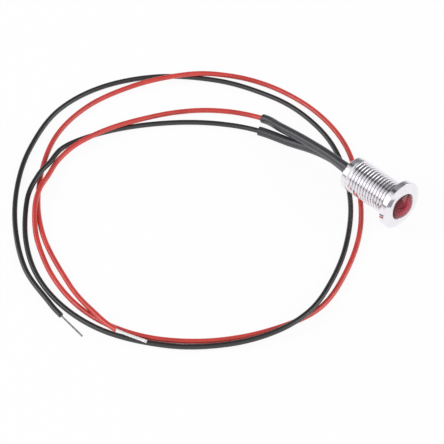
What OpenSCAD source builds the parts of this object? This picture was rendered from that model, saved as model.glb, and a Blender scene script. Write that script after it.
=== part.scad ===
// Panel mount indicator light: a threaded metal housing with a domed red lens,
// a 5 mm LED behind it and two sleeved leads with bare tinned ends.
// Millimetres. The housing's axis runs along Y, the lens faces -Y, and the part
// lies on Z = 0 with the middle of its housing over the origin.

/* [Housing] */
// outside diameter of the front flange
flange_d = 14; // [12:0.5:18]
// thickness of the flange, chamfer included
flange_t = 2.2; // [1.6:0.1:4]
// depth of the chamfer round the flange's front edge
chamfer_t = 0.6; // [0.2:0.1:1.2]
// width of that chamfer across the front
chamfer_w = 1.35; // [0.5:0.05:2]
// outside diameter of the thread
thread_d = 10; // [9:0.5:12]
// length of the barrel behind the flange
thread_l = 17; // [16:0.5:20]
// pitch of the thread
pitch = 1; // [0.75:0.05:1.25]
// plain length between the thread and the rear chamfer
land_l = 1.3; // [0.8:0.1:2]
// chamfer on the barrel's rear end
tail_chamfer = 0.6; // [0.2:0.1:1]
// bore through the housing
bore_d = 6.4; // [6.2:0.1:7.4]
// play between parts that slide together
slip = 0.05; // [0.03:0.01:0.15]

/* [Lens] */
// diameter of the lens
lens_d = 7.9; // [7.5:0.1:9]
// thickness of the lens at its edge
lens_t = 2; // [1.6:0.1:2.4]
// how far the dome stands in front of the flange
dome_rise = 1.8; // [0.6:0.1:2.5]
// diameter of the hollow in the lens's back
hollow_d = 5.4; // [5.2:0.1:6.2]
// depth of that hollow
hollow_depth = 1.1; // [0.8:0.1:1.4]
// thickness of the flat seal behind the lens
seal_t = 0.8; // [0.4:0.1:1.2]
// width of the seal's ring
seal_w = 0.7; // [0.4:0.05:0.75]

/* [LED] */
// diameter of the LED
led_d = 5; // [4:0.1:5.2]
// length of the LED in front of its rim
led_l = 7.6; // [6.5:0.1:8]
// diameter of the LED's rim
rim_d = 5.8; // [5.5:0.1:6]
// thickness of the rim
rim_t = 1; // [0.8:0.1:1.5]
// gap between the LED's tip and the hollow of the lens
led_gap = 0.3; // [0.1:0.1:0.8]
// width of the square legs
leg_w = 0.5; // [0.4:0.05:0.6]
// distance between the two legs
leg_pitch = 2.54; // [2.4:0.02:2.7]
// length of the anode's leg behind the rim
anode_l = 2.8; // [2.4:0.1:3.2]
// length of the cathode's leg behind the rim
cathode_l = 4; // [3.5:0.1:5]
// diameter of the pad that carries the light-giving chip
pad_d = 1.6; // [1.2:0.1:1.8]
// side of the chip
chip_w = 0.35; // [0.25:0.05:0.5]
// length of the ring that centres the LED
holder_l = 4; // [2:0.5:4.5]

/* [Resistor and joints] */
// diameter of the resistor
resistor_d = 1.5; // [1.2:0.1:1.6]
// length of the resistor's body
resistor_l = 3.1; // [2.8:0.1:3.4]
// diameter of the resistor's own wires
res_wire_d = 0.45; // [0.35:0.05:0.6]
// length of each of them
res_wire_l = 1.1; // [1:0.1:1.3]
// diameter of the solder joints
joint_d = 1.5; // [1.3:0.05:1.6]
// length of the solder joints
joint_l = 1.1; // [0.9:0.05:1.15]
// how far the filling stops inside the rear end
pot_back = 0.3; // [0:0.1:1]

/* [Leads] */
// outside diameter of the insulated wire
wire_d = 1.45; // [1.2:0.05:1.5]
// diameter of the bare strands
strand_d = 0.9; // [0.6:0.05:1]
// bare length inside, at the solder joint
strip_l = 0.6; // [0.6:0.05:0.9]
// sideways distance from the housing's axis to each lead
lead_side = 0.6; // [0.6:0.01:0.65]
// distance up or down from the axis to each lead
lead_rise = 1.2; // [1.2:0.01:1.3]
// outside diameter of the shrink sleeves
sleeve_d = 2.6; // [2.4:0.02:2.6]
// wall of the shrink sleeves
sleeve_wall = 0.4; // [0.3:0.02:0.44]
// how far behind the LED's rim the sleeves begin
sleeve_in = 1.4; // [0.8:0.1:1.6]
// play round the sleeves where they pass the filling
sleeve_play = 0.1; // [0.1:0.02:0.3]
// play between two wires that cross
cross_play = 0.1; // [0.05:0.01:0.3]

/* [Hidden] */
$fn = 64;

// Depths below are measured from the flange's flat front, towards the rear.
axis_z = flange_d / 2;
front_y = dome_rise - (dome_rise + flange_t + thread_l) / 2;
rear = flange_t + thread_l;
recess_depth = lens_t + seal_t;

// The thread is a row of closed rings with an outline of 60 degrees. It ends at the rear
// land and begins no nearer to the flange than the floor of the lens's recess.
crest_w = pitch / 8;
root_w = pitch / 4;
flank_w = (pitch - crest_w - root_w) / 2;
groove_depth = flank_w / tan(30);
thread_end = rear - tail_chamfer - land_l;
turns = floor((thread_end - max(flange_t, recess_depth)) / pitch);
thread_start = thread_end - turns * pitch;

dome_r = (pow(lens_d / 2, 2) + pow(dome_rise, 2)) / (2 * dome_rise);
led_tip = lens_t - hollow_depth + led_gap;
rim_front = led_tip + led_l;
rim_rear = rim_front + rim_t;
pad_front = rim_front - 2.6;
pad_t = 0.8;
arm_t = 0.6;
chip_t = 0.15;
anode_end = rim_rear + anode_l;
cathode_end = rim_rear + cathode_l;
resistor_front = anode_end + res_wire_l;
resistor_rear = resistor_front + resistor_l;
red_joint = resistor_rear + res_wire_l;
red_start = red_joint + strip_l;
black_start = cathode_end + strip_l;
sleeve_start = rim_rear + sleeve_in;
pot_rear = rear - pot_back;
slot_r = sleeve_d / 2 + sleeve_play;
slot_start = sleeve_start - slip;

// The two leads sit on a line through the axis that leans over to one side.
lead_turn = atan(lead_side / lead_rise);
lead_off = norm([lead_side, lead_rise]);
red_z = axis_z + lead_rise;
black_z = axis_z - lead_rise;

// Routes of the leads: first the points inside the sleeves, then the points on
// the floor, whose third number says how far the wire climbs over another (0 lies, 1 rides over).
lie = wire_d / 2;
hop = wire_d + cross_play;
red_first = [[-lead_side, front_y + red_start, red_z], [-lead_side, 13.3, red_z], [0.2, 20.3, 7.3],
  [1.2, 30.3, 5.4], [1.8, 39.8, 3.4], [2.5, 47.8, sleeve_d / 2]];
red_floor = [[-2.5, 57.8, 0], [-11.5, 66.3, 0], [-22.5, 70.8, 0.8], [-33, 74.3, 1], [-43, 75.8, 0.9],
  [-50.5, 75.3, 0.3], [-57.5, 71.8, 0.8], [-63.5, 68.8, 1], [-69.5, 63.8, 0.8], [-76, 55.3, 0],
  [-82, 42.3, 0], [-84.5, 29.3, 0], [-83, 17.3, 0], [-77.5, 5.8, 0], [-67.5, -4.7, 0], [-54.5, -12.2, 0],
  [-39.5, -15.7, 0], [-24.5, -11.2, 0], [-9.5, -2.2, 0], [3.5, 11.3, 0], [12.5, 25.8, 0], [16, 42.3, 0],
  [13.5, 59.3, 0], [5.5, 70.8, 0.8], [-3.5, 77.8, 1], [-15, 84.3, 0.2], [-30, 86.8, 0], [-46, 82.8, 0],
  [-62, 70.8, 0], [-73.5, 55.8, 0], [-81, 36.3, 0], [-84, 22.8, 1], [-84, 14.8, 1], [-81, 6.3, 0.8]];
black_first = [[lead_side, front_y + black_start, black_z], [lead_side, 12.3, black_z], [1.6, 19.8, 5],
  [1.8, 27.3, 3.3], [0.8, 35.3, 1.5], [-2, 44.8, sleeve_d / 2]];
black_floor = [[-6.5, 53.8, 0], [-14.5, 62.8, 0], [-25, 70.8, 0], [-36, 76.3, 0], [-46, 78.3, 0.2],
  [-54, 75.3, 0.9], [-60, 73.3, 1.1], [-67.5, 69.3, 0.2], [-78, 57.8, 0], [-85, 44.8, 0], [-87.5, 30.3, 0],
  [-85, 15.8, 0], [-76.5, 1.3, 0], [-65.5, -8.7, 0.2], [-54.5, -14.7, 1], [-43, -15.7, 1.1], [-31, -11.7, 0.5],
  [-18, -4.7, 0], [-5.5, 5.3, 0], [4.5, 17.8, 0], [10.5, 30.3, 0], [12.5, 44.3, 0], [10.5, 56.3, 0], [5, 69.3, 0],
  [-6, 82.3, 0], [-21, 90.3, 0], [-37, 91.3, 0], [-53, 84.8, 0], [-66, 75.3, 0], [-77, 63.3, 0],
  [-85.5, 49.3, 0], [-89, 35.8, 0], [-90, 29.8, 0], [-91, 20.3, 0]];
steps = 2;
mouth = 5 * steps;
wire_end = 38 * steps;
tip_end = 39 * steps;
wire_sides = 8;
sleeve_sides = 12;

function unit(v) = v / norm(v);
function floor_points(f) = [for (p = f) [p[0], p[1], lie + p[2] * hop]];
// One smooth curve through all the points of a route.
function at(r, i) = i < 0 ? 2 * r[0] - r[1] : i >= len(r) ? 2 * r[len(r) - 1] - r[len(r) - 2] : r[i];
function blend(a, b, c, d, t) = (2 * b + (c - a) * t + (2 * a - 5 * b + 4 * c - d) * t * t
  + (3 * b - a - 3 * c + d) * t * t * t) / 2;
function lifted(p, low) = [p[0], p[1], max(p[2], low)];
function curve(r) = concat([for (i = [0:len(r) - 2]) for (k = [0:steps - 1])
  lifted(blend(at(r, i - 1), r[i], r[i + 1], at(r, i + 2), k / steps),
    i * steps + k > mouth ? lie : sleeve_d / 2)], [r[len(r) - 1]]);
function heading(c, i) = i == 0 ? [0, 1, 0] : unit(c[min(i + 1, len(c) - 1)] - c[i - 1]);
// A ring of points round the curve, with one point straight below it.
function ring(c, t, r, n) = let (s = unit(cross(t, [0, 0, 1])), u = cross(s, t))
  [for (k = [0:n - 1]) c + r * (cos(360 * k / n - 90) * s + sin(360 * k / n - 90) * u)];

red_curve = curve(concat(red_first, floor_points(red_floor)));
black_curve = curve(concat(black_first, floor_points(black_floor)));

// Solid round cord along part of a curve.
module cord(c, first, last, r) {
  n = wire_sides;
  m = last - first;
  polyhedron(
    points = [for (i = [first:last]) each ring(c[i], heading(c, i), r, n)],
    faces = concat([[for (k = [n - 1:-1:0]) k]], [[for (k = [0:n - 1]) m * n + k]],
      [for (i = [0:m - 1]) for (k = [0:n - 1]) [i * n + k, i * n + (k + 1) % n, (i + 1) * n + (k + 1) % n]],
      [for (i = [0:m - 1]) for (k = [0:n - 1]) [i * n + k, (i + 1) * n + (k + 1) % n, (i + 1) * n + k]]));
}

// Hollow sleeve that starts inside the housing and follows a curve to its mouth.
module sleeve(c) {
  n = sleeve_sides;
  m = mouth + 1;
  from = [c[0][0], front_y + sleeve_start, c[0][2]];
  places = concat([from], [for (i = [0:mouth]) c[i]]);
  headings = concat([[0, 1, 0]], [for (i = [0:mouth]) heading(c, i)]);
  inner = (m + 1) * n;
  r = sleeve_d / 2;
  polyhedron(
    points = concat([for (i = [0:m]) each ring(places[i], headings[i], r, n)],
      [for (i = [0:m]) each ring(places[i], headings[i], r - sleeve_wall, n)]),
    faces = concat(
      [for (i = [0:m - 1]) for (k = [0:n - 1]) [i * n + k, i * n + (k + 1) % n, (i + 1) * n + (k + 1) % n]],
      [for (i = [0:m - 1]) for (k = [0:n - 1]) [i * n + k, (i + 1) * n + (k + 1) % n, (i + 1) * n + k]],
      [for (i = [0:m - 1]) for (k = [0:n - 1])
        [inner + (i + 1) * n + (k + 1) % n, inner + i * n + (k + 1) % n, inner + i * n + k]],
      [for (i = [0:m - 1]) for (k = [0:n - 1])
        [inner + (i + 1) * n + k, inner + (i + 1) * n + (k + 1) % n, inner + i * n + k]],
      [for (k = [0:n - 1]) [inner + k, inner + (k + 1) % n, (k + 1) % n, k]],
      [for (k = [0:n - 1]) [m * n + k, m * n + (k + 1) % n, inner + m * n + (k + 1) % n, inner + m * n + k]]));
}

// Moves a part drawn along its own Z, depth 0 at the flange's front, into the housing.
module place() {
  translate([0, front_y, axis_z]) rotate([-90, 0, 0]) children();
}

// The same, turned so that the two leads lie above and below each other.
module place_lead() {
  place() rotate([0, 0, -lead_turn]) children();
}

module rod(d, from, to, side = 0) {
  translate([0, side, from]) cylinder(d = d, h = to - from);
}

module anode_shape() {
  translate([-leg_w / 2, -leg_pitch / 2 - leg_w / 2, pad_front]) cube([leg_w, leg_w, anode_end - pad_front]);
}

module cathode_shape() {
  translate([-leg_w / 2, leg_pitch / 2 - leg_w / 2, pad_front]) cube([leg_w, leg_w, cathode_end - pad_front]);
  translate([-leg_w / 2, 0, pad_front]) cube([leg_w, leg_pitch / 2, arm_t]);
  rod(pad_d, pad_front, pad_front + pad_t);
}

module chip_shape() {
  translate([-chip_w / 2, -chip_w / 2, pad_front - chip_t]) cube([chip_w, chip_w, chip_t]);
}

// A barrel of solder round the meeting point of a leg and a wire.
module joint_shape(middle, side) {
  r = joint_d / 2;
  c = joint_l / 4;
  translate([0, side, middle - joint_l / 2]) rotate_extrude()
    polygon([[0, 0], [r - c / 2, 0], [r, c], [r, joint_l - c], [r - c / 2, joint_l], [0, joint_l]]);
}

// One groove of the thread, between the middles of two crests.
function groove(from) = let (t = thread_d / 2, a = from + crest_w / 2, b = from + pitch - crest_w / 2)
  [[t, a], [t - groove_depth, a + flank_w], [t - groove_depth, b - flank_w], [t, b]];

module housing() {
  r = flange_d / 2;
  t = thread_d / 2;
  lens_r = lens_d / 2 + slip;
  color([0.78, 0.79, 0.81]) place() rotate_extrude()
    polygon(concat([[lens_r, 0], [r - chamfer_w, 0], [r, chamfer_t], [r, flange_t], [t, flange_t]],
      [for (k = [0:turns - 1]) each groove(thread_start + k * pitch)],
      [[t, rear - tail_chamfer], [t - tail_chamfer, rear], [bore_d / 2, rear],
      [bore_d / 2, recess_depth], [lens_r, recess_depth]]));
}

module lens() {
  color([0.62, 0.05, 0.08]) place() difference() {
    union() {
      rod(lens_d, 0, lens_t);
      intersection() {
        translate([0, 0, dome_r - dome_rise]) sphere(r = dome_r);
        rod(lens_d, -dome_rise, slip);
      }
    }
    rod(hollow_d, lens_t - hollow_depth, lens_t + slip);
  }
}

module lens_seal() {
  color([0.1, 0.1, 0.1]) place() difference() {
    rod(lens_d, lens_t, recess_depth);
    rod(lens_d - 2 * seal_w, lens_t - slip, recess_depth + slip);
  }
}

module led_body() {
  color([0.75, 0.1, 0.1]) place_lead() difference() {
    union() {
      translate([0, 0, led_tip + led_d / 2]) sphere(d = led_d);
      rod(led_d, led_tip + led_d / 2, rim_front);
      rod(rim_d, rim_front, rim_rear);
    }
    anode_shape();
    cathode_shape();
    chip_shape();
  }
}

module led_chip() {
  color([0.9, 0.8, 0.4]) place_lead() chip_shape();
}

module led_anode() {
  color([0.75, 0.75, 0.76]) place_lead() anode_shape();
}

module led_cathode() {
  color([0.75, 0.75, 0.76]) place_lead() cathode_shape();
}

module led_holder() {
  color([0.12, 0.12, 0.12]) place() difference() {
    rod(bore_d - 2 * slip, rim_front - holder_l, rim_front);
    rod(led_d + 2 * slip, rim_front - holder_l - slip, rim_front + slip);
  }
}

module potting() {
  leg_slot = leg_w + 2 * slip;
  color([0.08, 0.08, 0.09]) place_lead() difference() {
    rod(bore_d, rim_rear, pot_rear);
    translate([-leg_slot / 2, -leg_pitch / 2 - leg_slot / 2, rim_rear - slip])
      cube([leg_slot, leg_pitch + leg_slot, slot_start - rim_rear + 2 * slip]);
    for (side = [-1, 1]) rod(2 * slot_r, slot_start, pot_rear + slip, side * lead_off);
    translate([-slot_r, -lead_off, slot_start]) cube([2 * slot_r, 2 * lead_off, pot_rear + slip - slot_start]);
  }
}

module resistor_body() {
  color([0.62, 0.5, 0.35]) place_lead() rod(resistor_d, resistor_front, resistor_rear, -lead_off);
}

module resistor_wire_in() {
  color([0.7, 0.7, 0.7]) place_lead() rod(res_wire_d, anode_end, resistor_front, -lead_off);
}

module resistor_wire_out() {
  color([0.7, 0.7, 0.7]) place_lead() rod(res_wire_d, resistor_rear, red_joint, -lead_off);
}

module joint_led_resistor() {
  color([0.66, 0.67, 0.68]) place_lead() difference() {
    joint_shape(anode_end, -lead_off);
    anode_shape();
    rod(res_wire_d, anode_end, resistor_front, -lead_off);
  }
}

module joint_resistor_wire() {
  color([0.66, 0.67, 0.68]) place_lead() difference() {
    joint_shape(red_joint, -lead_off);
    rod(res_wire_d, resistor_rear, red_joint, -lead_off);
    rod(strand_d, red_joint, red_start, -lead_off);
  }
}

module joint_led_wire() {
  color([0.66, 0.67, 0.68]) place_lead() difference() {
    joint_shape(cathode_end, lead_off);
    cathode_shape();
    rod(strand_d, cathode_end, black_start, lead_off);
  }
}

module red_core() {
  color([0.75, 0.72, 0.68]) place_lead() rod(strand_d, red_joint, red_start, -lead_off);
}

module red_wire() {
  color([0.78, 0.18, 0.16]) cord(red_curve, 0, wire_end, wire_d / 2);
}

module red_tip() {
  color([0.75, 0.75, 0.74]) cord(red_curve, wire_end, tip_end, strand_d / 2);
}

module red_sleeve() {
  color([0.2, 0.21, 0.23]) sleeve(red_curve);
}

module black_core() {
  color([0.75, 0.72, 0.68]) place_lead() rod(strand_d, cathode_end, black_start, lead_off);
}

module black_wire() {
  color([0.07, 0.07, 0.08]) cord(black_curve, 0, wire_end, wire_d / 2);
}

module black_tip() {
  color([0.75, 0.75, 0.74]) cord(black_curve, wire_end, tip_end, strand_d / 2);
}

module black_sleeve() {
  color([0.2, 0.21, 0.23]) sleeve(black_curve);
}

housing();
lens();
lens_seal();
led_body();
led_chip();
led_anode();
led_cathode();
led_holder();
potting();
resistor_body();
resistor_wire_in();
resistor_wire_out();
joint_led_resistor();
joint_resistor_wire();
joint_led_wire();
red_core();
red_wire();
red_tip();
red_sleeve();
black_core();
black_wire();
black_tip();
black_sleeve();
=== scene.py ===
import math

import bpy
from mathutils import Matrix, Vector


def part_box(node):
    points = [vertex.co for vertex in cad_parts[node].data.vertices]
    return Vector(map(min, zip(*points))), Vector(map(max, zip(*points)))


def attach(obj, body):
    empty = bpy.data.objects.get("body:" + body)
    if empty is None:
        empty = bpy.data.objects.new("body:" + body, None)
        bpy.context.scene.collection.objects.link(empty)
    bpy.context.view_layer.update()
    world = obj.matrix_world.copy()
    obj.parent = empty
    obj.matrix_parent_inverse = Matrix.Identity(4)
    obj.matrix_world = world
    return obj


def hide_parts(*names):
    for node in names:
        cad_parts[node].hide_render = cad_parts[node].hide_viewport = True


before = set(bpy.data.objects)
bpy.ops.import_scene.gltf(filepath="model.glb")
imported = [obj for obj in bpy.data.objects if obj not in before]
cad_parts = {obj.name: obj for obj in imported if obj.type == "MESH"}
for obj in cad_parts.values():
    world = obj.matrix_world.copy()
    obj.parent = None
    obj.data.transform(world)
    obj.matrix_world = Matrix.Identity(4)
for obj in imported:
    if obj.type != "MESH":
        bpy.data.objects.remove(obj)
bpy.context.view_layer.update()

scene = bpy.context.scene
scene.view_settings.view_transform = "Standard"

# --- Camera ---------------------------------------------------------------------------
# It looks down from the lens side, over the left of the housing, through a long lens, so
# that the housing stands at the right and both leads lie whole in the picture.
look_from = math.radians(-44)
look_down = math.radians(44)
look_at = Vector((-0.0344, 0.0263, 0))
distance = 0.7
towards = Vector((math.sin(look_from) * math.cos(look_down),
                  -math.cos(look_from) * math.cos(look_down), math.sin(look_down)))
bpy.ops.object.camera_add(location=look_at + distance * towards,
                          rotation=(math.pi / 2 - look_down, 0, look_from))
camera = bpy.context.object
camera.data.lens = 207.4
camera.data.sensor_width = 36
camera.data.clip_start = 0.01
scene.camera = camera

# --- The two leads --------------------------------------------------------------------
# Half a metre of stranded hook-up wire each, red for plus and black for minus: tinned
# copper strands in a soft PVC coat, soldered inside the housing and held there by the
# resin. They lie in two loose turns and cross each other in low humps.
wire_diameter = 0.00145
coat_wall = 0.00022
sleeve_diameter = 0.0026
red_route = [
    (-0.0006, 0.0098, 0.0082), (-0.0006, 0.0133, 0.0082), (0.0002, 0.0203, 0.0073),
    (0.0012, 0.0303, 0.0054), (0.0018, 0.0398, 0.0034), (0.0025, 0.0478, 0.0013),
    (-0.0025, 0.0578, 0.000725), (-0.0115, 0.0663, 0.000725), (-0.0225, 0.0708, 0.001965),
    (-0.0330, 0.0743, 0.002275), (-0.0430, 0.0758, 0.00212), (-0.0505, 0.0753, 0.00119),
    (-0.0575, 0.0718, 0.001965), (-0.0635, 0.0688, 0.002275), (-0.0695, 0.0638, 0.001965),
    (-0.0760, 0.0553, 0.000725), (-0.0820, 0.0423, 0.000725), (-0.0845, 0.0293, 0.000725),
    (-0.0830, 0.0173, 0.000725), (-0.0775, 0.0058, 0.000725), (-0.0675, -0.0047, 0.000725),
    (-0.0545, -0.0122, 0.000725), (-0.0395, -0.0157, 0.000725), (-0.0245, -0.0112, 0.000725),
    (-0.0095, -0.0022, 0.000725), (0.0035, 0.0113, 0.000725), (0.0125, 0.0258, 0.000725),
    (0.0160, 0.0423, 0.000725), (0.0135, 0.0593, 0.000725), (0.0055, 0.0708, 0.001965),
    (-0.0035, 0.0778, 0.002275), (-0.0150, 0.0843, 0.001035), (-0.0300, 0.0868, 0.000725),
    (-0.0460, 0.0828, 0.000725), (-0.0620, 0.0708, 0.000725), (-0.0735, 0.0558, 0.000725),
    (-0.0810, 0.0363, 0.000725), (-0.0840, 0.0228, 0.002275), (-0.0840, 0.0148, 0.002275),
    (-0.0810, 0.0063, 0.001965)]
black_route = [
    (0.0006, 0.0057, 0.0058), (0.0006, 0.0123, 0.0058), (0.0016, 0.0198, 0.0050),
    (0.0018, 0.0273, 0.0033), (0.0008, 0.0353, 0.0015), (-0.0020, 0.0448, 0.0013),
    (-0.0065, 0.0538, 0.000725), (-0.0145, 0.0628, 0.000725), (-0.0250, 0.0708, 0.000725),
    (-0.0360, 0.0763, 0.000725), (-0.0460, 0.0783, 0.001035), (-0.0540, 0.0753, 0.00212),
    (-0.0600, 0.0733, 0.00243), (-0.0675, 0.0693, 0.001035), (-0.0780, 0.0578, 0.000725),
    (-0.0850, 0.0448, 0.000725), (-0.0875, 0.0303, 0.000725), (-0.0850, 0.0158, 0.000725),
    (-0.0765, 0.0013, 0.000725), (-0.0655, -0.0087, 0.001035), (-0.0545, -0.0147, 0.002275),
    (-0.0430, -0.0157, 0.00243), (-0.0310, -0.0117, 0.0015), (-0.0180, -0.0047, 0.000725),
    (-0.0055, 0.0053, 0.000725), (0.0045, 0.0178, 0.000725), (0.0105, 0.0303, 0.000725),
    (0.0125, 0.0443, 0.000725), (0.0105, 0.0563, 0.000725), (0.0050, 0.0693, 0.000725),
    (-0.0060, 0.0823, 0.000725), (-0.0210, 0.0903, 0.000725), (-0.0370, 0.0913, 0.000725),
    (-0.0530, 0.0848, 0.000725), (-0.0660, 0.0753, 0.000725), (-0.0770, 0.0633, 0.000725),
    (-0.0855, 0.0493, 0.000725), (-0.0890, 0.0358, 0.000725), (-0.0900, 0.0298, 0.000725),
    (-0.0910, 0.0203, 0.000725)]
steps = 12          # places on the line between two points of a route
mouth = 5           # the point of a route where the sleeve ends
stripped = 38       # the point where the coat ends and the bare tip begins


def lie_along(route):
    """The lead's middle line: smooth through all the points, and never under the floor."""
    points = [Vector(p) for p in route]
    points = [2 * points[0] - points[1], *points, 2 * points[-1] - points[-2]]
    line = []
    for i in range(len(route) - 1):
        a, b, c, d = points[i:i + 4]
        for k in range(steps):
            t = k / steps
            p = (2 * b + (c - a) * t + (2 * a - 5 * b + 4 * c - d) * t ** 2
                 + (3 * b - a - 3 * c + d) * t ** 3) / 2
            radius = (sleeve_diameter if i < mouth else wire_diameter) / 2
            line.append(Vector((p.x, p.y, max(p.z, radius))))
    return [*line, points[-2]]


def lay_tube(name, line, radius, rings=4, capped=True):
    """A round tube along the line, made as a bevelled curve and turned into a mesh."""
    curve = bpy.data.curves.new(name, "CURVE")
    curve.dimensions = "3D"
    curve.bevel_depth = radius
    curve.bevel_resolution = rings
    curve.use_fill_caps = capped
    spline = curve.splines.new("POLY")
    spline.points.add(len(line) - 1)
    for point, place in zip(spline.points, line):
        point.co = (*place, 1)
    tube = bpy.data.objects.new(name, curve)
    scene.collection.objects.link(tube)
    bpy.ops.object.select_all(action="DESELECT")
    tube.select_set(True)
    bpy.context.view_layer.objects.active = tube
    bpy.ops.object.convert(target="MESH")
    tube = bpy.context.object
    if capped:
        bpy.ops.object.mode_set(mode="EDIT")
        bpy.ops.mesh.select_all(action="SELECT")
        bpy.ops.mesh.remove_doubles(threshold=1e-6)
        bpy.ops.mesh.normals_make_consistent(inside=False)
        bpy.ops.object.mode_set(mode="OBJECT")
    bpy.ops.object.shade_smooth_by_angle(angle=math.radians(40))
    return tube


def pvc_coat(name, deep, pale):
    """Soft PVC: the colour wanders a little along the wire, with fine marks of the die."""
    material = bpy.data.materials.new(name)
    material.use_nodes = True
    nodes, links = material.node_tree.nodes, material.node_tree.links
    shader = nodes["Principled BSDF"]
    shader.inputs["IOR"].default_value = 1.53
    shader.inputs["Specular IOR Level"].default_value = 0.8
    place = nodes.new("ShaderNodeTexCoord")
    patches = nodes.new("ShaderNodeTexNoise")
    patches.inputs["Scale"].default_value = 160
    patches.inputs["Detail"].default_value = 3
    colours = nodes.new("ShaderNodeValToRGB")
    colours.color_ramp.elements[0].position = 0.35
    colours.color_ramp.elements[0].color = (*deep, 1)
    colours.color_ramp.elements[1].position = 0.65
    colours.color_ramp.elements[1].color = (*pale, 1)
    gloss = nodes.new("ShaderNodeMapRange")
    gloss.inputs["To Min"].default_value = 0.24
    gloss.inputs["To Max"].default_value = 0.34
    stretch = nodes.new("ShaderNodeMapping")
    stretch.inputs["Scale"].default_value = (60, 30, 1)
    die_marks = nodes.new("ShaderNodeTexNoise")
    die_marks.inputs["Scale"].default_value = 1
    die_marks.inputs["Detail"].default_value = 2
    dust = nodes.new("ShaderNodeTexNoise")
    dust.inputs["Scale"].default_value = 4200
    marks = nodes.new("ShaderNodeBump")
    marks.inputs["Strength"].default_value = 0.25
    marks.inputs["Distance"].default_value = 0.00003
    grain = nodes.new("ShaderNodeBump")
    grain.inputs["Strength"].default_value = 0.2
    grain.inputs["Distance"].default_value = 0.00001
    links.new(place.outputs["Object"], patches.inputs["Vector"])
    links.new(patches.outputs["Fac"], colours.inputs["Fac"])
    links.new(colours.outputs["Color"], shader.inputs["Base Color"])
    links.new(place.outputs["Object"], dust.inputs["Vector"])
    links.new(dust.outputs["Fac"], gloss.inputs["Value"])
    links.new(gloss.outputs["Result"], shader.inputs["Roughness"])
    links.new(place.outputs["UV"], stretch.inputs["Vector"])
    links.new(stretch.outputs["Vector"], die_marks.inputs["Vector"])
    links.new(die_marks.outputs["Fac"], marks.inputs["Height"])
    links.new(dust.outputs["Fac"], grain.inputs["Height"])
    links.new(marks.outputs["Normal"], grain.inputs["Normal"])
    links.new(grain.outputs["Normal"], shader.inputs["Normal"])
    return material


def cut_square(coat, end, heading, bore_depth=0.0008):
    """The coat's cut end: a wall, and inside it the bore that the strands come out of."""
    bpy.ops.object.mode_set(mode="EDIT")
    bpy.ops.mesh.select_all(action="DESELECT")
    bpy.ops.object.mode_set(mode="OBJECT")
    for face in coat.data.polygons:
        face.select = (face.center - end).length < 0.0001 and abs(face.normal.dot(heading)) > 0.95
    bpy.ops.object.mode_set(mode="EDIT")
    bpy.ops.mesh.select_mode(type="FACE")
    bpy.ops.mesh.inset(thickness=coat_wall, use_even_offset=False)
    bpy.ops.mesh.extrude_region_move(TRANSFORM_OT_translate={"value": -bore_depth * heading})
    bpy.ops.object.mode_set(mode="OBJECT")


red_line = lie_along(red_route)
black_line = lie_along(black_route)
leads = {}
for colour, line, deep, pale in (
        ("red", red_line, (0.57, 0.027, 0.018), (0.68, 0.042, 0.028)),
        ("black", black_line, (0.005, 0.005, 0.006), (0.010, 0.010, 0.011))):
    coated = line[:stripped * steps + 1]
    coat = lay_tube(colour + "_insulation", coated, wire_diameter / 2)
    cut_square(coat, coated[-1], (coated[-1] - coated[-2]).normalized())
    coat.data.materials.append(pvc_coat(colour + "_pvc", deep, pale))
    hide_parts(colour + "_wire")
    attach(coat, "root")
    leads[colour] = (coat, coated)

# --- The bare ends --------------------------------------------------------------------
# Each lead is stripped for about nine millimetres. The seven strands keep their twist and
# were dipped in solder: thickly and bright on the red lead, thin and dull on the black one.
outer_strands = 6           # laid round a seventh
strand_twist = 0.0075       # length of one turn of the lay


def bright_metal(name, deep, pale, rough, grain_size, metallic=1.0):
    """Bare metal whose tone and polish wander over grains of the given size."""
    material = bpy.data.materials.new(name)
    material.use_nodes = True
    nodes, links = material.node_tree.nodes, material.node_tree.links
    shader = nodes["Principled BSDF"]
    shader.inputs["Metallic"].default_value = metallic
    place = nodes.new("ShaderNodeTexCoord")
    grains = nodes.new("ShaderNodeTexNoise")
    grains.inputs["Scale"].default_value = 1 / grain_size
    grains.inputs["Detail"].default_value = 3
    colours = nodes.new("ShaderNodeValToRGB")
    colours.color_ramp.elements[0].position = 0.3
    colours.color_ramp.elements[0].color = (*deep, 1)
    colours.color_ramp.elements[1].position = 0.7
    colours.color_ramp.elements[1].color = (*pale, 1)
    polish = nodes.new("ShaderNodeMapRange")
    polish.inputs["To Min"].default_value = rough * 0.75
    polish.inputs["To Max"].default_value = rough * 1.25
    dents = nodes.new("ShaderNodeBump")
    dents.inputs["Strength"].default_value = 0.4
    dents.inputs["Distance"].default_value = 0.000004
    links.new(place.outputs["Object"], grains.inputs["Vector"])
    links.new(grains.outputs["Fac"], colours.inputs["Fac"])
    links.new(colours.outputs["Color"], shader.inputs["Base Color"])
    links.new(grains.outputs["Fac"], polish.inputs["Value"])
    links.new(polish.outputs["Result"], shader.inputs["Roughness"])
    links.new(grains.outputs["Fac"], dents.inputs["Height"])
    links.new(dents.outputs["Normal"], shader.inputs["Normal"])
    return material


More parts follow.
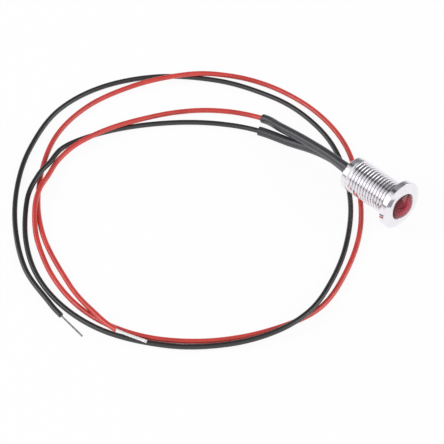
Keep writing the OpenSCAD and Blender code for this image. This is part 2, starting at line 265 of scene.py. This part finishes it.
tinned_copper = bright_metal("tinned_copper", (0.86, 0.85, 0.82), (0.96, 0.95, 0.93),
                             rough=0.40, grain_size=0.0004, metallic=0.3)
dull_copper = bright_metal("dull_tinned_copper", (0.26, 0.25, 0.24), (0.50, 0.49, 0.47),
                           rough=0.40, grain_size=0.0012)
for colour, line, lay, strand_radius, metal in (
        ("red", red_line, 0.00027, 0.00017, tinned_copper),
        ("black", black_line, 0.00016, 0.00012, dull_copper)):
    core_line = line[stripped * steps - 2:]
    strands = []
    for number in range(outer_strands + 1):
        strand_line = []
        run = 0
        for i, middle in enumerate(core_line):
            ahead = core_line[min(i + 1, len(core_line) - 1)]
            behind = core_line[max(i - 1, 0)]
            run += (middle - behind).length
            heading = (ahead - behind).normalized()
            side = heading.cross(Vector((0, 0, 1))).normalized()
            angle = math.tau * (number / outer_strands + run / strand_twist)
            out = math.cos(angle) * side + math.sin(angle) * side.cross(heading)
            spread = lay * (0.7 + 0.3 * i / len(core_line))
            strand_line.append(middle + (spread * out if number < outer_strands else Vector()))
        strands.append(lay_tube(f"{colour}_strand_{number}", strand_line, strand_radius, rings=2))
    bpy.ops.object.select_all(action="DESELECT")
    for strand in strands:
        strand.select_set(True)
    bpy.context.view_layer.objects.active = strands[-1]
    bpy.ops.object.join()
    tip = bpy.context.object
    tip.name = colour + "_strands"
    tip.data.materials.clear()
    tip.data.materials.append(metal)
    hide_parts(colour + "_tip")
    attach(tip, "root")
    leads[colour] += (tip,)

# --- The sleeves ----------------------------------------------------------------------
# Dark grey heat-shrink tubing pushed over each lead before it was soldered, and caught in
# the resin at the housing's rear. It is cut plain at the other end and stands off the wire.
sleeve_wall = 0.0004
sleeve_start = 0.0025       # its end in the resin


def shrink_tubing():
    """Matt grey tubing with a fine skin and shallow wrinkles round it."""
    material = bpy.data.materials.new("shrink_tubing")
    material.use_nodes = True
    nodes, links = material.node_tree.nodes, material.node_tree.links
    shader = nodes["Principled BSDF"]
    shader.inputs["IOR"].default_value = 1.5
    shader.inputs["Specular IOR Level"].default_value = 0.8
    place = nodes.new("ShaderNodeTexCoord")
    cloudy = nodes.new("ShaderNodeTexNoise")
    cloudy.inputs["Scale"].default_value = 380
    cloudy.inputs["Detail"].default_value = 4
    colours = nodes.new("ShaderNodeValToRGB")
    colours.color_ramp.elements[0].position = 0.3
    colours.color_ramp.elements[0].color = (0.024, 0.024, 0.029, 1)
    colours.color_ramp.elements[1].position = 0.7
    colours.color_ramp.elements[1].color = (0.038, 0.038, 0.046, 1)
    skin = nodes.new("ShaderNodeTexNoise")
    skin.inputs["Scale"].default_value = 5200
    skin.inputs["Detail"].default_value = 2
    matt = nodes.new("ShaderNodeMapRange")
    matt.inputs["To Min"].default_value = 0.26
    matt.inputs["To Max"].default_value = 0.38
    wrinkles = nodes.new("ShaderNodeBump")
    wrinkles.inputs["Strength"].default_value = 0.35
    wrinkles.inputs["Distance"].default_value = 0.00006
    fine = nodes.new("ShaderNodeBump")
    fine.inputs["Strength"].default_value = 0.3
    fine.inputs["Distance"].default_value = 0.00001
    links.new(place.outputs["Object"], cloudy.inputs["Vector"])
    links.new(place.outputs["Object"], skin.inputs["Vector"])
    links.new(cloudy.outputs["Fac"], colours.inputs["Fac"])
    links.new(colours.outputs["Color"], shader.inputs["Base Color"])
    links.new(skin.outputs["Fac"], matt.inputs["Value"])
    links.new(matt.outputs["Result"], shader.inputs["Roughness"])
    links.new(cloudy.outputs["Fac"], wrinkles.inputs["Height"])
    links.new(skin.outputs["Fac"], fine.inputs["Height"])
    links.new(wrinkles.outputs["Normal"], fine.inputs["Normal"])
    links.new(fine.outputs["Normal"], shader.inputs["Normal"])
    return material


tubing = shrink_tubing()
for colour, line in (("red", red_line), ("black", black_line)):
    start = Vector((line[0].x, sleeve_start, line[0].z))
    sleeve = lay_tube(colour + "_shrink", [start, *line[:mouth * steps + 1]],
                      sleeve_diameter / 2, rings=5, capped=False)
    wall = sleeve.modifiers.new("Wall", "SOLIDIFY")
    wall.thickness = sleeve_wall
    wall.offset = -1
    bpy.ops.object.modifier_apply(modifier="Wall")
    bpy.ops.object.shade_smooth_by_angle(angle=math.radians(40))
    sleeve.data.materials.clear()
    sleeve.data.materials.append(tubing)
    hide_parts(colour + "_sleeve")
    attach(sleeve, "root")
    leads[colour] += (sleeve,)

for colour, side, rise in (("red", -0.0006, 0.0082), ("black", 0.0006, 0.0058)):
    coat, coated, tip, sleeve = leads[colour]

# --- Housing --------------------------------------------------------------------------
# One piece of brass, turned and chromed: a chamfered flange that shows on the panel, a
# barrel with an M10 x 1 thread cut up to it, a plain land behind and a bore right through.
housing_low, housing_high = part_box("housing")
axis_height = (housing_low.z + housing_high.z) / 2
front = housing_low.y
rear = housing_high.y
flange_radius = (housing_high.x - housing_low.x) / 2
flange_back = front + 0.0022
core_radius = 0.0042        # of the blank, under the thread
crest_radius = 0.00498      # of the thread and the land
bore_radius = 0.0032
recess_radius = 0.00397
recess_floor = front + 0.0028


def turn(name, outline, closed=True, rounds=128):
    """Turns an outline of (radius, place along the axis) corners about the housing's axis."""
    bpy.ops.object.select_all(action="DESELECT")
    bpy.ops.mesh.primitive_plane_add(size=0.001, location=(0, 0, axis_height))
    piece = bpy.context.object
    piece.name = name
    bpy.ops.object.mode_set(mode="EDIT")
    bpy.ops.mesh.select_mode(type="VERT")
    bpy.ops.mesh.merge(type="CENTER")
    bpy.ops.transform.translate(value=(*outline[0], 0))
    corners = [*outline, outline[0]] if closed else outline
    for (r0, y0), (r1, y1) in zip(corners, corners[1:]):
        bpy.ops.mesh.extrude_vertices_move(
            TRANSFORM_OT_translate={"value": (r1 - r0, y1 - y0, 0)})
    bpy.ops.mesh.select_all(action="SELECT")
    bpy.ops.mesh.remove_doubles(threshold=1e-6)
    bpy.ops.object.mode_set(mode="OBJECT")
    lathe = piece.modifiers.new("Lathe", "SCREW")
    lathe.axis = "Y"
    lathe.steps = lathe.render_steps = rounds
    lathe.use_merge_vertices = True
    lathe.merge_threshold = 1e-6
    bpy.ops.object.modifier_apply(modifier="Lathe")
    return piece


def close_and_face_out(piece):
    """Merges the seam and the poles, and turns every face outwards."""
    bpy.ops.object.select_all(action="DESELECT")
    piece.select_set(True)
    bpy.context.view_layer.objects.active = piece
    bpy.ops.object.mode_set(mode="EDIT")
    bpy.ops.mesh.select_all(action="SELECT")
    bpy.ops.mesh.remove_doubles(threshold=1e-6)
    bpy.ops.mesh.normals_make_consistent(inside=False)
    bpy.ops.object.mode_set(mode="OBJECT")


def settle(piece, smooth_below):
    """Puts the piece's place into its mesh and smooths what is rounded."""
    bpy.ops.object.select_all(action="DESELECT")
    piece.select_set(True)
    bpy.context.view_layer.objects.active = piece
    bpy.ops.object.transform_apply(location=True, rotation=True, scale=True)
    bpy.ops.object.shade_smooth_by_angle(angle=math.radians(smooth_below))


# The blank: flange, core and land, with the thread's run-outs at both ends.
blank = turn("housing_chromed", [
    (0, front), (0.0030, front), (0.0045, front), (0.0055, front), (0.00556, front),
    (0.00562, front + 0.00001), (0.00567, front + 0.00004),
    (0.00573, front + 0.00007), (0.0069, front + 0.00056), (0.00695, front + 0.00059),
    (0.00698, front + 0.00063), (flange_radius, front + 0.00068), (flange_radius, front + 0.0008),
    (flange_radius, flange_back - 0.0002), (flange_radius, flange_back - 0.0001),
    (0.00698, flange_back - 0.00004), (0.00694, flange_back - 0.00001),
    (0.00688, flange_back), (0.0068, flange_back), (0.0050, flange_back),
    (0.0048, flange_back + 0.00002), (0.00442, flange_back + 0.00055),
    (core_radius, flange_back + 0.0006), (core_radius, rear - 0.0034), (0.00437, rear - 0.0032),
    (0.00484, rear - 0.0022), (0.00494, rear - 0.00204), (crest_radius, rear - 0.0019),
    (crest_radius, rear - 0.0018), (crest_radius, rear - 0.00075), (crest_radius, rear - 0.00066),
    (0.00496, rear - 0.00061), (0.00492, rear - 0.00056), (0.00446, rear - 0.00006),
    (0.00442, rear - 0.00002), (0.00436, rear), (0.0043, rear), (0.0036, rear), (0, rear)],
    closed=False)
close_and_face_out(blank)

# The thread: one pitch of its outline, wound along the barrel, cut flat at both ends.
pitch = 0.001
root_radius = 0.00440
root_round = 0.00008
crest_round = 0.00016
crest_flat = 0.00003
half = [(root_radius + root_round * (1 - math.cos(math.radians(a))),
         root_round * math.sin(math.radians(a))) for a in (0, 15, 30, 45, 60)]
half += [(crest_radius - crest_round * (1 - math.cos(math.radians(a))),
          pitch / 2 - crest_flat - crest_round * math.sin(math.radians(a)))
         for a in (60, 45, 30, 15, 0)]
groove = half + [(r, pitch - y) for r, y in reversed(half)]
turns = 18                  # from before the thread's start to behind its end
thread_front = flange_back - 0.0005
thread_rear = rear - 0.00197
bpy.ops.object.select_all(action="DESELECT")
bpy.ops.mesh.primitive_plane_add(size=0.001, location=(0, 0, axis_height))
thread = bpy.context.object
bpy.ops.object.mode_set(mode="EDIT")
bpy.ops.mesh.select_mode(type="VERT")
bpy.ops.mesh.merge(type="CENTER")
bpy.ops.transform.translate(value=(groove[0][0], groove[0][1] + flange_back - 2 * pitch, 0))
for (r0, y0), (r1, y1) in zip(groove, groove[1:]):
    bpy.ops.mesh.extrude_vertices_move(TRANSFORM_OT_translate={"value": (r1 - r0, y1 - y0, 0)})
bpy.ops.object.mode_set(mode="OBJECT")
winding = thread.modifiers.new("Winding", "SCREW")
winding.axis = "Y"
winding.steps = winding.render_steps = 96
winding.screw_offset = pitch
winding.iterations = turns
bpy.ops.object.modifier_apply(modifier="Winding")
bpy.ops.object.mode_set(mode="EDIT")
bpy.ops.mesh.select_all(action="SELECT")
bpy.ops.mesh.remove_doubles(threshold=2e-6)
for end, keep_rear in ((thread_front, True), (thread_rear, False)):
    bpy.ops.mesh.select_all(action="SELECT")
    bpy.ops.mesh.bisect(plane_co=(0, end, 0), plane_no=(0, 1, 0), use_fill=True,
                        clear_inner=keep_rear, clear_outer=not keep_rear, threshold=1e-8)
bpy.ops.mesh.select_all(action="SELECT")
bpy.ops.mesh.normals_make_consistent(inside=False)
bpy.ops.object.mode_set(mode="OBJECT")

# The cutter: the bore from the rear and the lens's recess at the front.
cutter = turn("cutter", [
    (0, front - 0.001), (0.0052, front - 0.001), (recess_radius + 0.00004, front),
    (recess_radius, front + 0.00004), (recess_radius, recess_floor), (bore_radius, recess_floor),
    (bore_radius, rear - 0.00012), (bore_radius + 0.00012, rear),
    (bore_radius + 0.001, rear + 0.001), (0, rear + 0.001)], closed=False, rounds=120)
close_and_face_out(cutter)

for tool, operation in ((thread, "UNION"), (cutter, "DIFFERENCE")):
    bpy.ops.object.select_all(action="DESELECT")
    blank.select_set(True)
    bpy.context.view_layer.objects.active = blank
    joining = blank.modifiers.new("Cut", "BOOLEAN")
    joining.object = tool
    joining.operation = operation
    joining.solver = "EXACT"
    bpy.ops.object.modifier_apply(modifier="Cut")
    bpy.data.objects.remove(tool)
close_and_face_out(blank)
settle(blank, 21)


def chrome_plate():
    """Bright chrome over turned brass: rings of the tool, smudges, and painted shade deep in the
    thread.
    """
    material = bpy.data.materials.new("chrome_plate")
    material.use_nodes = True
    nodes, links = material.node_tree.nodes, material.node_tree.links
    shader = nodes["Principled BSDF"]
    shader.inputs["Metallic"].default_value = 1
    place = nodes.new("ShaderNodeTexCoord")
    smudges = nodes.new("ShaderNodeTexNoise")
    smudges.inputs["Scale"].default_value = 420
    smudges.inputs["Detail"].default_value = 4
    colours = nodes.new("ShaderNodeValToRGB")
    colours.color_ramp.elements[0].position = 0.3
    colours.color_ramp.elements[0].color = (0.850, 0.832, 0.866, 1)
    colours.color_ramp.elements[1].position = 0.7
    colours.color_ramp.elements[1].color = (0.905, 0.886, 0.920, 1)
    off_axis = nodes.new("ShaderNodeVectorMath")
    off_axis.inputs[1].default_value = (0, 0, -axis_height)
    flat = nodes.new("ShaderNodeVectorMath")
    flat.operation = "MULTIPLY"
    flat.inputs[1].default_value = (1, 0, 1)
    radius = nodes.new("ShaderNodeVectorMath")
    radius.operation = "LENGTH"
    # Painted shade: behind the flange the colour darkens to a thin band at the thread's roots,
    # where the grooves lie in shade.
    flank = nodes.new("ShaderNodeMapRange")
    flank.inputs["From Min"].default_value = 0.0041
    flank.inputs["From Max"].default_value = 0.0047
    painted_groove_shade = nodes.new("ShaderNodeValToRGB")
    painted_groove_shade.color_ramp.elements[0].position = 0.40
    painted_groove_shade.color_ramp.elements[0].color = (1, 1, 1, 1)
    painted_groove_shade.color_ramp.elements[1].position = 0.95
    painted_groove_shade.color_ramp.elements[1].color = (1, 1, 1, 1)
    painted_groove_shade.color_ramp.elements.new(0.46).color = (0.28, 0.28, 0.29, 1)
    groove_shaded = nodes.new("ShaderNodeMix")
    groove_shaded.data_type = "RGBA"
    groove_shaded.blend_type = "MULTIPLY"
    behind = nodes.new("ShaderNodeMath")
    behind.operation = "GREATER_THAN"
    behind.inputs[1].default_value = flange_back
    along = nodes.new("ShaderNodeSeparateXYZ")
    polish = nodes.new("ShaderNodeMapRange")
    polish.inputs["To Min"].default_value = 0.05
    polish.inputs["To Max"].default_value = 0.14
    tool_rings = nodes.new("ShaderNodeTexWave")
    tool_rings.bands_direction = "Y"
    tool_rings.inputs["Scale"].default_value = 2600
    tool_rings.inputs["Distortion"].default_value = 1.5
    tool_rings.inputs["Detail"].default_value = 2
    rings = nodes.new("ShaderNodeBump")
    rings.inputs["Strength"].default_value = 0.12
    rings.inputs["Distance"].default_value = 0.000003
    links.new(place.outputs["Object"], smudges.inputs["Vector"])
    links.new(smudges.outputs["Fac"], colours.inputs["Fac"])
    links.new(place.outputs["Object"], off_axis.inputs[0])
    links.new(off_axis.outputs["Vector"], flat.inputs[0])
    links.new(flat.outputs["Vector"], radius.inputs[0])
    links.new(radius.outputs["Value"], flank.inputs["Value"])
    links.new(flank.outputs["Result"], painted_groove_shade.inputs["Fac"])
    links.new(place.outputs["Object"], along.inputs[0])
    links.new(along.outputs["Y"], behind.inputs[0])
    links.new(behind.outputs[0], groove_shaded.inputs["Factor"])
    links.new(colours.outputs["Color"], groove_shaded.inputs["A"])
    links.new(painted_groove_shade.outputs["Color"], groove_shaded.inputs["B"])
    links.new(groove_shaded.outputs["Result"], shader.inputs["Base Color"])
    links.new(smudges.outputs["Fac"], polish.inputs["Value"])
    links.new(polish.outputs["Result"], shader.inputs["Roughness"])
    links.new(place.outputs["Object"], tool_rings.inputs["Vector"])
    links.new(tool_rings.outputs["Fac"], rings.inputs["Height"])
    links.new(rings.outputs["Normal"], shader.inputs["Normal"])
    return material


chrome = chrome_plate()
blank.data.materials.clear()
blank.data.materials.append(chrome)
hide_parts("housing")
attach(blank, "root")

# --- Lens -----------------------------------------------------------------------------
# A low dome of clear red acrylic, moulded with a hollow behind for the lamp, and pressed
# into the flange's recess against its seal.
lens_low, lens_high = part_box("lens")
lens_radius = (lens_high.x - lens_low.x) / 2
dome_rise = front - lens_low.y
dome_radius = (lens_radius ** 2 + dome_rise ** 2) / (2 * dome_rise)
lens_back = front + 0.0020
hollow_radius = 0.0027
hollow_rise = 0.0014
hollow_end = front - 0.0005
hollow_round = (hollow_radius ** 2 + hollow_rise ** 2) / (2 * hollow_rise)
hollow = [(hollow_round * math.sin(a), hollow_end + hollow_round * (1 - math.cos(a)))
          for a in (math.asin(hollow_radius / hollow_round) * i / 16 for i in range(16, -1, -1))]
dome = [(dome_radius * math.sin(a), lens_low.y + dome_radius * (1 - math.cos(a)))
        for a in (math.asin(0.99 * lens_radius / dome_radius) * i / 24 for i in range(25))]
lens = turn("lens_moulded", [
    *dome, (lens_radius - 0.00001, front + 0.00006), (lens_radius, front + 0.00012),
    (lens_radius, front + 0.0003), (lens_radius, lens_back - 0.0003),
    (lens_radius, lens_back - 0.0001), (lens_radius - 0.00004, lens_back - 0.00003),
    (lens_radius - 0.0001, lens_back), (lens_radius - 0.0003, lens_back),
    (hollow_radius + 0.0002, lens_back), (hollow_radius + 0.00005, lens_back - 0.00001),
    (hollow_radius, lens_back - 0.00006), *hollow], closed=False)
close_and_face_out(lens)
settle(lens, 30)


def red_acrylic():
    """Clear red plastic, darkened towards the rim round the hollow by painted shade, with a faint
    flow pattern.
    """
    material = bpy.data.materials.new("red_acrylic")
    material.use_nodes = True
    nodes, links = material.node_tree.nodes, material.node_tree.links
    shader = nodes["Principled BSDF"]
    shader.inputs["Transmission Weight"].default_value = 0.7
    shader.inputs["IOR"].default_value = 1.49
    place = nodes.new("ShaderNodeTexCoord")
    flow = nodes.new("ShaderNodeTexNoise")
    flow.inputs["Scale"].default_value = 300
    flow.inputs["Detail"].default_value = 2
    colours = nodes.new("ShaderNodeValToRGB")
    colours.color_ramp.elements[0].position = 0.3
    colours.color_ramp.elements[0].color = (0.54, 0.024, 0.062, 1)
    colours.color_ramp.elements[1].position = 0.7
    colours.color_ramp.elements[1].color = (0.64, 0.036, 0.084, 1)
    polish = nodes.new("ShaderNodeMapRange")
    polish.inputs["To Min"].default_value = 0.03
    polish.inputs["To Max"].default_value = 0.10
    off_axis = nodes.new("ShaderNodeVectorMath")
    off_axis.inputs[1].default_value = (0, 0, -axis_height)
    flat = nodes.new("ShaderNodeVectorMath")
    flat.operation = "MULTIPLY"
    flat.inputs[1].default_value = (1, 0, 1)
    radius = nodes.new("ShaderNodeVectorMath")
    radius.operation = "LENGTH"
    # Painted shade: the red darkens towards the rim, beyond the hollow, to draw the lens's dark
    # edge. The map named thickness only measures the distance from the axis.
    thickness = nodes.new("ShaderNodeMapRange")
    thickness.inputs["From Min"].default_value = hollow_radius + 0.0003
    thickness.inputs["From Max"].default_value = hollow_radius + 0.0011
    painted_rim_shade = nodes.new("ShaderNodeMix")
    painted_rim_shade.data_type = "RGBA"
    painted_rim_shade.blend_type = "MULTIPLY"
    painted_rim_shade.inputs["B"].default_value = (0.40, 0.22, 0.32, 1)
    links.new(place.outputs["Object"], off_axis.inputs[0])
    links.new(off_axis.outputs["Vector"], flat.inputs[0])
    links.new(flat.outputs["Vector"], radius.inputs[0])
    links.new(radius.outputs["Value"], thickness.inputs["Value"])
    links.new(thickness.outputs["Result"], painted_rim_shade.inputs["Factor"])
    links.new(place.outputs["Object"], flow.inputs["Vector"])
    links.new(flow.outputs["Fac"], colours.inputs["Fac"])
    links.new(colours.outputs["Color"], painted_rim_shade.inputs["A"])
    links.new(painted_rim_shade.outputs["Result"], shader.inputs["Base Color"])
    links.new(flow.outputs["Fac"], polish.inputs["Value"])
    links.new(polish.outputs["Result"], shader.inputs["Roughness"])
    return material


acrylic = red_acrylic()
lens.data.materials.clear()
lens.data.materials.append(acrylic)
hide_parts("lens")
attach(lens, "root")

# --- Lamp, resistor and filling -------------------------------------------------------
# A red 5 mm lamp held in a black ring, its legs soldered to the resistor and the leads, a
# rubber seal in front of it, and black resin poured in behind.


def cast_or_moulded(name, deep, pale, rough, grain_size, relief=0.00001, glow_through=0.0):
    """A filled plastic, rubber or resin with a fine grain in its colour and its skin."""
    material = bpy.data.materials.new(name)
    material.use_nodes = True
    nodes, links = material.node_tree.nodes, material.node_tree.links
    shader = nodes["Principled BSDF"]
    shader.inputs["Transmission Weight"].default_value = glow_through
    place = nodes.new("ShaderNodeTexCoord")
    grains = nodes.new("ShaderNodeTexNoise")
    grains.inputs["Scale"].default_value = 1 / grain_size
    grains.inputs["Detail"].default_value = 3
    colours = nodes.new("ShaderNodeValToRGB")
    colours.color_ramp.elements[0].position = 0.3
    colours.color_ramp.elements[0].color = (*deep, 1)
    colours.color_ramp.elements[1].position = 0.7
    colours.color_ramp.elements[1].color = (*pale, 1)
    skin = nodes.new("ShaderNodeMapRange")
    skin.inputs["To Min"].default_value = rough * 0.8
    skin.inputs["To Max"].default_value = rough * 1.2
    bumps = nodes.new("ShaderNodeBump")
    bumps.inputs["Strength"].default_value = 0.35
    bumps.inputs["Distance"].default_value = relief
    links.new(place.outputs["Object"], grains.inputs["Vector"])
    links.new(grains.outputs["Fac"], colours.inputs["Fac"])
    links.new(colours.outputs["Color"], shader.inputs["Base Color"])
    links.new(grains.outputs["Fac"], skin.inputs["Value"])
    links.new(skin.outputs["Result"], shader.inputs["Roughness"])
    links.new(grains.outputs["Fac"], bumps.inputs["Height"])
    links.new(bumps.outputs["Normal"], shader.inputs["Normal"])
    return material


seal_rubber = cast_or_moulded("seal_rubber", (0.016, 0.016, 0.016), (0.030, 0.029, 0.029),
                              rough=0.6, grain_size=0.0003)
lamp_epoxy = cast_or_moulded("lamp_epoxy", (0.48, 0.012, 0.016), (0.58, 0.020, 0.025),
                             rough=0.12, grain_size=0.0009, glow_through=0.75)
holder_nylon = cast_or_moulded("holder_nylon", (0.012, 0.012, 0.013), (0.024, 0.024, 0.025),
                               rough=0.45, grain_size=0.0004)
potting_resin = cast_or_moulded("potting_resin", (0.008, 0.008, 0.009), (0.018, 0.018, 0.020),
                                rough=0.22, grain_size=0.0012, relief=0.00006)
solder = bright_metal("solder", (0.52, 0.53, 0.55), (0.70, 0.71, 0.73),
                      rough=0.3, grain_size=0.0003)
tin_plate = bright_metal("tin_plate", (0.60, 0.60, 0.61), (0.74, 0.74, 0.75),
                         rough=0.32, grain_size=0.00025)
resistor_lacquer = cast_or_moulded("resistor_lacquer", (0.47, 0.34, 0.20), (0.55, 0.42, 0.27),
                                   rough=0.3, grain_size=0.0002)
for node, material in (
        ("lens_seal", seal_rubber), ("led_body", lamp_epoxy), ("led_chip", tin_plate),
        ("led_anode", tin_plate), ("led_cathode", tin_plate), ("led_holder", holder_nylon),
        ("potting", potting_resin), ("resistor_body", resistor_lacquer),
        ("resistor_wire_in", tinned_copper), ("resistor_wire_out", tinned_copper),
        ("joint_led_resistor", solder), ("joint_resistor_wire", solder),
        ("joint_led_wire", solder), ("red_core", tinned_copper), ("black_core", tinned_copper)):
    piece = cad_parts[node]
    for slot in piece.material_slots:
        slot.material = material

# --- Stage ----------------------------------------------------------------------------
# A white table between two soft boxes, in a room that is dark overhead and pale at the
# left and in front. Only the bright metal and the lens show the room.
bpy.ops.object.select_all(action="DESELECT")
bpy.ops.mesh.primitive_plane_add(size=8)
floor = bpy.context.object
floor.name = "floor"
table = bpy.data.materials.new("white_table")
table.use_nodes = True
nodes, links = table.node_tree.nodes, table.node_tree.links
nodes.remove(nodes["Principled BSDF"])
paper = nodes.new("ShaderNodeBsdfDiffuse")
paper.inputs["Color"].default_value = (0.97, 0.96, 1.0, 1)
white = nodes.new("ShaderNodeEmission")
white.inputs["Color"].default_value = (1, 1, 1, 1)
ray = nodes.new("ShaderNodeLightPath")
seen = nodes.new("ShaderNodeMath")
seen.operation = "MAXIMUM"
shown = nodes.new("ShaderNodeMath")
shown.operation = "MAXIMUM"
share = nodes.new("ShaderNodeMath")
share.operation = "MULTIPLY"
share.inputs[1].default_value = 0.93
both = nodes.new("ShaderNodeMixShader")
links.new(ray.outputs["Is Camera Ray"], seen.inputs[0])
links.new(ray.outputs["Is Glossy Ray"], seen.inputs[1])
links.new(seen.outputs[0], shown.inputs[0])
links.new(ray.outputs["Is Transmission Ray"], shown.inputs[1])
links.new(shown.outputs[0], share.inputs[0])
links.new(share.outputs[0], both.inputs["Fac"])
links.new(paper.outputs[0], both.inputs[1])
links.new(white.outputs[0], both.inputs[2])
links.new(both.outputs[0], nodes["Material Output"].inputs["Surface"])
floor.data.materials.append(table)

# The room that bright surfaces mirror, drawn round the housing's axis: a dim strip at the
# left horizon, a pale left wall, a dark ceiling and right side, and a pale front.
world = bpy.data.worlds.new("studio")
scene.world = world
world.use_nodes = True
nodes, links = world.node_tree.nodes, world.node_tree.links
way = nodes.new("ShaderNodeTexCoord")
towards_wall = nodes.new("ShaderNodeSeparateXYZ")
links.new(way.outputs["Generated"], towards_wall.inputs[0])
dim = nodes["Background"]
dim.inputs["Color"].default_value = (0.96, 0.97, 1.0, 1)
fall = nodes.new("ShaderNodeMapRange")
fall.inputs["To Min"].default_value = 1.15
fall.inputs["To Max"].default_value = 0.45
links.new(towards_wall.outputs["Z"], fall.inputs["Value"])
links.new(fall.outputs["Result"], dim.inputs["Strength"])
across = nodes.new("ShaderNodeCombineXYZ")
links.new(towards_wall.outputs["Z"], across.inputs["X"])
links.new(towards_wall.outputs["X"], across.inputs["Y"])
turn_about = nodes.new("ShaderNodeTexGradient")
turn_about.gradient_type = "RADIAL"
links.new(across.outputs[0], turn_about.inputs["Vector"])
walls = nodes.new("ShaderNodeValToRGB")
walls.color_ramp.elements[0].position = 0.5 - 84 / 360
walls.color_ramp.elements[0].color = (0.40, 0.40, 0.41, 1)
walls.color_ramp.elements[1].position = 0.5 + 90 / 360
walls.color_ramp.elements[1].color = (0.85, 0.85, 0.86, 1)
for degrees, level in ((-79, 0.45), (-74, 0.85), (-45, 0.95), (-34, 0.94), (-24, 0.85),
                       (-14, 0.50), (-6, 0.10), (1, 0.09), (9, 0.28), (22, 0.32), (36, 0.26),
                       (57, 0.22), (78, 0.46)):
    stop = walls.color_ramp.elements.new(0.5 + degrees / 360)
    stop.color = (level, level, 1.02 * level, 1)
links.new(turn_about.outputs["Fac"], walls.inputs["Fac"])
forward = nodes.new("ShaderNodeMapRange")
forward.inputs["From Min"].default_value = -0.05
forward.inputs["From Max"].default_value = -0.45
links.new(towards_wall.outputs["Y"], forward.inputs["Value"])
front_wall = nodes.new("ShaderNodeMapRange")
front_wall.inputs["From Min"].default_value = 0.30
front_wall.inputs["From Max"].default_value = 0.75
front_wall.inputs["To Min"].default_value = 0.88
front_wall.inputs["To Max"].default_value = 0.40
links.new(towards_wall.outputs["X"], front_wall.inputs["Value"])
room = nodes.new("ShaderNodeMix")
room.data_type = "RGBA"
links.new(front_wall.outputs["Result"], room.inputs["B"])
links.new(forward.outputs["Result"], room.inputs["Factor"])
links.new(walls.outputs["Color"], room.inputs["A"])
mirrored = nodes.new("ShaderNodeBackground")
links.new(room.outputs["Result"], mirrored.inputs["Color"])
bright = nodes.new("ShaderNodeBackground")
path = nodes.new("ShaderNodeLightPath")
shiny = nodes.new("ShaderNodeMixShader")
straight = nodes.new("ShaderNodeMath")
straight.operation = "MAXIMUM"
every_way = nodes.new("ShaderNodeMixShader")
bright.inputs["Color"].default_value = (1, 1, 1, 1)
links.new(path.outputs["Is Glossy Ray"], shiny.inputs["Fac"])
links.new(dim.outputs[0], shiny.inputs[1])
links.new(mirrored.outputs[0], shiny.inputs[2])
links.new(path.outputs["Is Camera Ray"], straight.inputs[0])
links.new(path.outputs["Is Transmission Ray"], straight.inputs[1])
links.new(straight.outputs[0], every_way.inputs["Fac"])
links.new(shiny.outputs[0], every_way.inputs[1])
links.new(bright.outputs[0], every_way.inputs[2])
links.new(every_way.outputs[0], nodes["World Output"].inputs["Surface"])

# Two soft boxes face each other across the table, a wide one behind the leads at the
# left, with its lamp showing through, and a smaller one before the housing at the right.
from_table = 1.1
for name, heading, width, height, power in (
        ("soft_box_left", (-0.72, 0.60, 0.50), 1.8, 0.66, 2.8),
        ("lamp_left", (-0.72, 0.60, 0.50), 0.36, 0.30, 2.6),
        ("soft_box_right", (0.68, -0.66, 0.40), 1.1, 0.5, 3.8)):
    heading = Vector(heading).normalized()
    bpy.ops.object.light_add(type="AREA", location=from_table * heading,
                             rotation=heading.to_track_quat("Z", "Y").to_euler())
    soft_box = bpy.context.object
    soft_box.name = name
    soft_box.data.shape = "RECTANGLE"
    soft_box.data.size = width
    soft_box.data.size_y = height
    soft_box.data.energy = power

# A grey card in front of the flange, for its chamfer to mirror. Only bright surfaces see it.
bpy.ops.object.select_all(action="DESELECT")
bpy.ops.mesh.primitive_plane_add(size=0.052, location=(0.0045, -0.0605, 0.0003),
                                 rotation=(0, 0, look_from))
card = bpy.context.object
card.name = "grey_card"
bpy.ops.object.transform_apply(location=True, rotation=True, scale=True)
grey = bpy.data.materials.new("grey_card")
grey.use_nodes = True
shader = grey.node_tree.nodes["Principled BSDF"]
shader.inputs["Base Color"].default_value = (0.30, 0.31, 0.34, 1)
shader.inputs["Roughness"].default_value = 0.8
card.data.materials.append(grey)
card.visible_camera = card.visible_diffuse = card.visible_shadow = False
